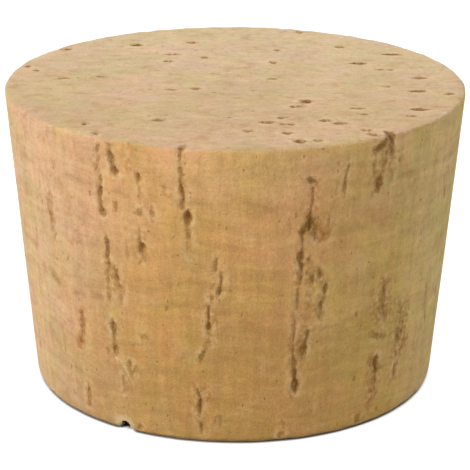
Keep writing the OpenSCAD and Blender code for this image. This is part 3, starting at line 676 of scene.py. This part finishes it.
def tint(red, green, blue):
    """A colour written as it looks, from 0 to 255, as the linear numbers that a shader takes."""
    seen = np.array([red, green, blue]) / 255
    linear = np.where(seen <= 0.04045, seen / 12.92, ((seen + 0.055) / 1.055) ** 2.4)
    return (*linear.tolist(), 1.0)


def maths(how, one, two=0.0, three=0.0):
    """One step of arithmetic on values."""
    return node("Math", {0: one, 1: two, 2: three}, operation=how)


def times(first, *others):
    """The product of some values."""
    for value in others:
        first = maths("MULTIPLY", first, value)
    return first


def summed(start, *terms):
    """A start, plus each value times its weight."""
    for value, weight in terms:
        start = maths("MULTIPLY_ADD", value, weight, start)
    return start


def ease(value, start, end, low=0.0, high=1.0):
    """Low up to start, high from end on, and an S between them."""
    return node("MapRange", {0: value, 1: start, 2: end, 3: low, 4: high}, interpolation_type="SMOOTHSTEP")


def blend(how_much, under, over, mode="MIX"):
    """One colour laid over another."""
    return node("Mix", {0: how_much, 6: under, 7: over}, 2, data_type="RGBA", blend_type=mode)


def shade(colour, light):
    """A colour made lighter or darker all through: each channel times the same number."""
    return node("VectorMath", {0: colour, "Scale": light}, operation="SCALE")


def stretched(at, x, y, z):
    """Places times a number along each axis: a larger one packs a pattern closer that way."""
    return node("VectorMath", {0: at, 1: (x, y, z)}, operation="MULTIPLY")


def noise(at, scale, detail=2.0, roughness=0.5):
    """Cloudy noise about 0.5, with that many patches to a mm."""
    return node("TexNoise", {"Vector": at, "Scale": scale, "Detail": detail, "Roughness": roughness})


def attribute(name):
    """A value that the mesh carries at its points."""
    return node("Attribute", {}, "Fac", attribute_name=name)


at_mm = node("VectorMath", {0: node("TexCoord", {}, "Object"), "Scale": 1 / MM}, operation="SCALE")
axes = node("SeparateXYZ", {0: at_mm}).node
along_x, along_y, along_z = axes.outputs["X"], axes.outputs["Y"], axes.outputs["Z"]
end_share = attribute("end_face")
wall_share = maths("SUBTRACT", 1.0, end_share)
opening, how_dark = attribute("opening"), attribute("darkness")

# Slow changes of tone
drift = noise(at_mm, 0.055, 2.0, 0.6)
drifted_x = summed(-12.0, (along_x, 1.0), (drift, 24.0))
wavy_z = summed(-3.5, (along_z, 1.0), (drift, 7.0))
to_left = ease(drifted_x, -6.5, -22.0)
to_right = ease(drifted_x, 6.0, 20.0)
# Painted shade: the wall's colours go darker towards the narrow end, for the light from above
up = ease(wavy_z, 5.0, 34.0)
wall_middle = blend(up, tint(186, 145, 85), tint(206, 159, 103))
wall_left = blend(up, tint(192, 156, 114), tint(210, 168, 131))
wall_left = blend(ease(along_x, -16.0, -25.0), wall_left, tint(212, 176, 140))
wall_right = blend(up, tint(199, 164, 96), tint(203, 171, 113))
wall_right = blend(ease(along_x, 17.0, 25.0), wall_right, tint(206, 179, 122))
near_rim = times(ease(along_z, 28.0, 36.0), ease(along_x, -14.0, -4.0), ease(along_x, 18.0, 12.0))
wall_middle = blend(times(near_rim, 0.55), wall_middle, tint(214, 176, 126))
wall_tone = blend(to_right, blend(to_left, wall_middle, wall_left), wall_right)
end_tone = blend(ease(along_y, -24.0, 24.0), tint(205, 174, 136), tint(213, 187, 151))
tone = blend(end_share, wall_tone, end_tone)

# Pinker, more olive and yellower patches
for scale, reach, olive, pink in ((0.11, 0.17, (0.97, 1.0, 0.90, 1), (1.04, 0.98, 1.02, 1)),
                                  (0.34, 0.2, (0.98, 1.01, 0.95, 1), (1.03, 0.985, 0.99, 1)),
                                  (0.19, 0.17, (1.01, 1.0, 1.06, 1), (0.99, 1.0, 0.91, 1))):
    patch = noise(at_mm, scale, 3.0, 0.5)
    tone = blend(1.0, tone, blend(ease(patch, 0.5 - reach, 0.5 + reach), olive, pink), "MULTIPLY")

# Growth bands, a few mm apart
band_at = stretched(node("CombineXYZ", {0: along_x, 1: 0.0, 2: wavy_z}), 0.03, 0.03, 0.5)
tone = shade(tone, ease(noise(band_at, 1.0, 3.0, 0.6), 0.3, 0.7, 0.94, 1.05))

# Some of them drawn darker: (share of the height, half its width as a share, strength)
DARK_BANDS = ((0.15, 0.02, 0.4), (0.29, 0.016, 0.5), (0.46, 0.02, 1.0),
              (0.54, 0.02, 0.6), (0.70, 0.016, 0.4), (0.84, 0.02, 0.8))
year = node("ValToRGB", {0: maths("DIVIDE", wavy_z, TALL)})
year_ramp = year.node.color_ramp
year_ramp.elements[1].color = (0, 0, 0, 1)
for share, reach, strength in DARK_BANDS:
    for off, value in ((-reach, 0.0), (0.0, strength), (reach, 0.0)):
        stop = year_ramp.elements.new(share + off)
        stop.color = (value, value, value, 1)
broken = ease(noise(at_mm, 0.3, 3.0), 0.42, 0.66)
tone = blend(times(year, broken, wall_share, 0.5), tone, tint(140, 98, 52))

# Fine streaks: along the axis on the wall, from left to right on the ends
wall_streak = noise(stretched(at_mm, 0.85, 0.85, 0.10), 1.0, 4.0, 0.6)
end_streak = noise(stretched(at_mm, 0.32, 1.2, 0.5), 1.0, 4.0, 0.6)
streak = node("Mix", {0: end_share, 2: wall_streak, 3: end_streak}, 0, data_type="FLOAT")
streak_reach = summed(0.085, (end_share, -0.03))
tone = shade(tone, summed(1.0, (ease(streak, 0.25, 0.75, -1.0, 1.0), streak_reach)))

# Fine lines of growth, across the streaks
growth_at = stretched(node("CombineXYZ", {0: along_x, 1: along_y, 2: wavy_z}), 0.11, 0.11, 1.2)
lines = noise(growth_at, 1.0, 3.0, 0.6)
tone = shade(tone, summed(1.0, (ease(lines, 0.28, 0.72, -0.06, 0.06), wall_share)))

# Mottling
pale_cork = blend(end_share, tint(228, 190, 140), tint(244, 218, 170))
coarse, mottle = noise(at_mm, 0.42, 3.0, 0.6), noise(at_mm, 1.1, 3.0, 0.6)
for patch, dark_most, pale_most in ((coarse, 0.4, 0.22), (mottle, 0.3, 0.16)):
    tone = blend(ease(patch, 0.5, 0.75, 0.0, dark_most), tone, tint(176, 124, 74))
    tone = blend(ease(patch, 0.46, 0.25, 0.0, pale_most), tone, pale_cork)

# Cells: a fine grain, crisper than the mottling
crumbs = noise(at_mm, 2.6, 4.0, 0.7)
cells = noise(at_mm, 3.4, 3.0, 0.65)
tone = shade(tone, ease(cells, 0.25, 0.75, 0.93, 1.06))
fine_cells = node("TexVoronoi", {"Vector": at_mm, "Scale": 4.5})
tone = shade(tone, ease(fine_cells, 0.1, 0.75, 0.955, 1.03))

# Every line and fleck below is bent a little
wobble = stretched(node("TexNoise", {"Vector": at_mm, "Scale": 2.6}, 1), 0.4, 0.4, 0.4)
bent = node("VectorMath", {0: at_mm, 1: wobble}, operation="ADD")

# Fibre: fine lines along the axis in some places, finer growth lines across it in others
wall_fibre = noise(stretched(bent, 3.0, 3.0, 1.0), 1.0, 2.0, 0.6)
end_fibre = noise(stretched(bent, 1.2, 3.6, 1.0), 1.0, 2.0, 0.6)
fibre = node("Mix", {0: end_share, 2: wall_fibre, 3: end_fibre}, 0, data_type="FLOAT")
fine_lines = noise(stretched(bent, 0.9, 0.9, 2.8), 1.0, 2.0, 0.6)
place = ease(noise(at_mm, 0.5, 2.0), 0.35, 0.65)
tone = blend(place, tone, shade(tone, ease(fibre, 0.3, 0.7, 0.95, 1.045)))
across = times(maths("SUBTRACT", 1.0, place), wall_share)
tone = blend(across, tone, shade(tone, ease(fine_lines, 0.3, 0.7, 0.95, 1.04)))


def drawn_out(on_wall, on_ends):
    """The bent places times one set of numbers on the wall and another on the ends: the
    smallest is the way that a pattern is drawn out."""
    way = node("Mix", {0: end_share, 4: on_wall, 5: on_ends}, 1, data_type="VECTOR")
    return node("VectorMath", {0: bent, 1: way}, operation="MULTIPLY")


# Small dark flecks, and a few pores as large as a pinhead, drawn out along the streaks
fleck_at = drawn_out((1.0, 1.0, 0.4), (0.6, 1.0, 1.0))
pore_at = drawn_out((0.9, 0.9, 0.42), (0.55, 1.0, 1.0))
fleck = 0.0
for spot_at, scale, size, rare in ((fleck_at, 1.5, 0.16, 0.62), (pore_at, 0.75, 0.17, 0.74)):
    spots = node("TexVoronoi", {"Vector": spot_at, "Scale": scale}).node
    picked = maths("GREATER_THAN", node("SeparateColor", {0: spots.outputs["Color"]}), rare)
    spot = times(ease(spots.outputs["Distance"], size, 0.4 * size), picked)
    fleck = maths("MAXIMUM", fleck, spot)
tone = blend(times(fleck, 0.55), tone, tint(140, 96, 50))

# Painted shade: the foot of the wall at the narrow edge is darkened, as the contact shadow where it meets
# the floor
painted_contact_shade = times(ease(summed(along_z, (mottle, 0.8)), 1.0, 0.5, 0.0, 0.95), wall_share)
tone = blend(painted_contact_shade, tone, tint(84, 66, 38))

# Stains: warm where they are red, dark crumbs with paler ones between, darkest where they
# lie thick
stain, how_red = attribute("stain"), attribute("redness")
specks = noise(at_mm, 5.5, 3.0, 0.75)
clumps = noise(at_mm, 1.7, 2.0, 0.6)
powder = summed(-1.0, (stain, 1.0), (clumps, 1.4), (crumbs, 0.6))
stained = ease(stain, 0.04, 0.3)
tone = blend(times(ease(clumps, 0.46, 0.34), stained, 0.3), tone, tint(226, 194, 138))
tone = blend(times(ease(stain, 0.02, 0.2), how_red, 0.36), tone, tint(214, 156, 104))
stain_tone = blend(how_red, tint(144, 104, 44), tint(184, 114, 66))
tone = blend(times(ease(powder, 0.1, 0.95, 0.0, 0.9), stained), tone, stain_tone)
tone = blend(ease(powder, 0.72, 1.1, 0.0, 0.8), tone, tint(98, 68, 18))

# Openings: ragged is the distance in mm to an edge that crumbs have broken up. From outside
# in come pale slivers of firm cork, a thin dark rim, brown walls and a darker core in places.
dark_share = maths("MINIMUM", how_dark, 1.0)
ragged = summed(-0.52, (opening, 1.0), (end_share, -0.2), (crumbs, 0.8), (specks, 0.24))
slivers = noise(pore_at, 1.6, 2.0, 0.6)
pale_border = times(ease(ragged, 1.2, 0.4), dark_share, ease(slivers, 0.46, 0.6, 0.04, 0.42))
tone = blend(pale_border, tone, tint(238, 208, 162))
rim = times(ease(ragged, 0.17, 0.02), dark_share, 0.38)
tone = blend(rim, tone, tint(172, 124, 70))
patchy = ease(noise(at_mm, 0.8, 2.0), 0.38, 0.6)
inside = times(ease(ragged, 0.0, -0.11), dark_share, 0.75)
inside_tone = blend(end_share, blend(patchy, tint(188, 142, 70), tint(164, 118, 48)), tint(134, 97, 49))
tone = blend(inside, tone, shade(inside_tone, ease(specks, 0.3, 0.7, 0.75, 1.15)))
core = times(ease(ragged, -0.13, -0.28), dark_share, patchy, 0.55)
tone = blend(core, tone, blend(end_share, tint(134, 92, 26), tint(108, 76, 34)))

# The chip: paler raw cork torn up round it, and painted black inside as the shadow in the notch
chip_way = math.radians(CHIP_TURN)
chip_at = (NARROW_R * math.sin(chip_way), -NARROW_R * math.cos(chip_way), CHIP_H / 2)
from_chip = node("VectorMath", {0: at_mm, 1: chip_at}, "Value", operation="DISTANCE")
torn = ease(summed(from_chip, (crumbs, 1.6)), 2.6, 1.6)
tone = blend(times(torn, 0.6), tone, tint(222, 200, 160))
# Painted shadow: the inside of the chip is coloured near black, as the shade in the notch
tone = blend(ease(how_dark, 1.0, 1.25), tone, tint(40, 24, 12))
tree.links.new(tone, shader.inputs["Base Color"])

# Its feel: matt, with a fine relief from the same grain, crumbly inside the openings
tree.links.new(summed(0.68, (cells, 0.25)), shader.inputs["Roughness"])
shader.inputs["Specular IOR Level"].default_value = 0.16
crumbly = times(maths("SUBTRACT", crumbs, 0.5), ease(opening, 0.0, -0.15), dark_share)
cut_in = times(ease(ragged, 0.1, -0.12), dark_share, wall_share)
height = summed(0.0, (cells, 0.6), (streak, 1.2), (fine_cells, 0.35), (specks, 0.3),
                (times(fibre, place), 0.5), (times(fine_lines, across), 0.5),
                (crumbly, 3.0), (cut_in, -0.9), (fleck, -0.8))
bump = node("Bump", {"Height": height, "Distance": 0.1 * MM, "Strength": 0.9})
tree.links.new(bump, shader.inputs["Normal"])

mesh.materials.append(cork)
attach(stopper, "root")
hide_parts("stopper")


# ---------------------------------------------------------------- floor and backdrop
# A plain pale table that runs on as the backdrop. Seen straight on it glows white but for the
# soft shadow of the stopper; it gives little light back.

FLOOR_SIDE = 1.6
HALF_SIDE = FLOOR_SIDE / 2
floor_corners = [(-HALF_SIDE, -HALF_SIDE, 0), (HALF_SIDE, -HALF_SIDE, 0),
                 (HALF_SIDE, HALF_SIDE, 0), (-HALF_SIDE, HALF_SIDE, 0)]
floor_mesh = bpy.data.meshes.new("floor")
floor_mesh.from_pydata(floor_corners, [], [(0, 1, 2, 3)])
floor = bpy.data.objects.new("floor", floor_mesh)
bpy.context.scene.collection.objects.link(floor)

white = bpy.data.materials.new("white_table")
white.use_nodes = True
tree = white.node_tree
matt = tree.nodes["Principled BSDF"]
matt.inputs["Base Color"].default_value = (0.55, 0.55, 0.55, 1)
matt.inputs["Roughness"].default_value = 0.9
matt.inputs["Specular IOR Level"].default_value = 0.2


def seen_straight():
    """1 for a ray from the camera or from a glossy or clear surface, and 0 for light that is
    scattered: the largest of the three."""
    path = node("LightPath", {}).node
    glossy_or_clear = maths("MAXIMUM", path.outputs["Is Glossy Ray"], path.outputs["Is Transmission Ray"])
    return maths("MAXIMUM", path.outputs["Is Camera Ray"], glossy_or_clear)


# The glow fades out where the cork stands close above, as a thin contact shadow
CONTACT_REACH = 1.2 * MM
GLOW, GLOW_SHARE = 1.8, 0.5
openness = node("AmbientOcclusion", {"Distance": CONTACT_REACH}, "AO")
brightness = node("MapRange", {"Value": openness, "From Min": 0.25, "From Max": 0.5, "To Max": GLOW})
glow = node("Emission", {"Strength": brightness})
surface = node("MixShader", {0: times(seen_straight(), GLOW_SHARE), 1: matt.outputs[0], 2: glow})
tree.links.new(surface, tree.nodes["Material Output"].inputs["Surface"])
floor_mesh.materials.append(white)


# ---------------------------------------------------------------- light
# Soft studio light: a large lamp from the left and above, a weaker one from the right, one
# behind and one overhead, and an even pale room.

ROOM_LIGHT = 0.35
world = bpy.data.worlds.new("studio")
bpy.context.scene.world = world
world.use_nodes = True
tree = world.node_tree
room = tree.nodes["Background"]
room.inputs["Color"].default_value = (1, 1, 1, 1)
room_strength = node("Mix", {0: seen_straight(), 2: ROOM_LIGHT, 3: 1.0}, 0, data_type="FLOAT")
tree.links.new(room_strength, room.inputs["Strength"])

LAMPS = [
    # name, place, side, power, colour
    ("left_lamp", (-0.42, -0.30, 0.30), 0.30, 2.6, (1.0, 0.99, 0.97)),
    ("right_lamp", (0.45, -0.38, 0.22), 0.35, 0.9, (0.98, 1.0, 0.98)),
    ("back_lamp", (0.06, 0.50, 0.14), 0.35, 1.4, (1.0, 0.99, 0.97)),
    ("top_lamp", (-0.05, 0.15, 0.55), 0.40, 0.5, (1.0, 1.0, 1.0)),
]
cork_middle = Vector((0, 0, HALF_TALL * MM))
for name, place, side, power, colour in LAMPS:
    lamp = bpy.data.lights.new(name, "AREA")
    lamp.size = side
    lamp.energy = power
    lamp.color = colour
    holder = bpy.data.objects.new(name, lamp)
    holder.location = place
    holder.rotation_euler = (cork_middle - Vector(place)).to_track_quat("-Z", "Y").to_euler()
    bpy.context.scene.collection.objects.link(holder)

bpy.context.scene.view_settings.view_transform = "Standard"
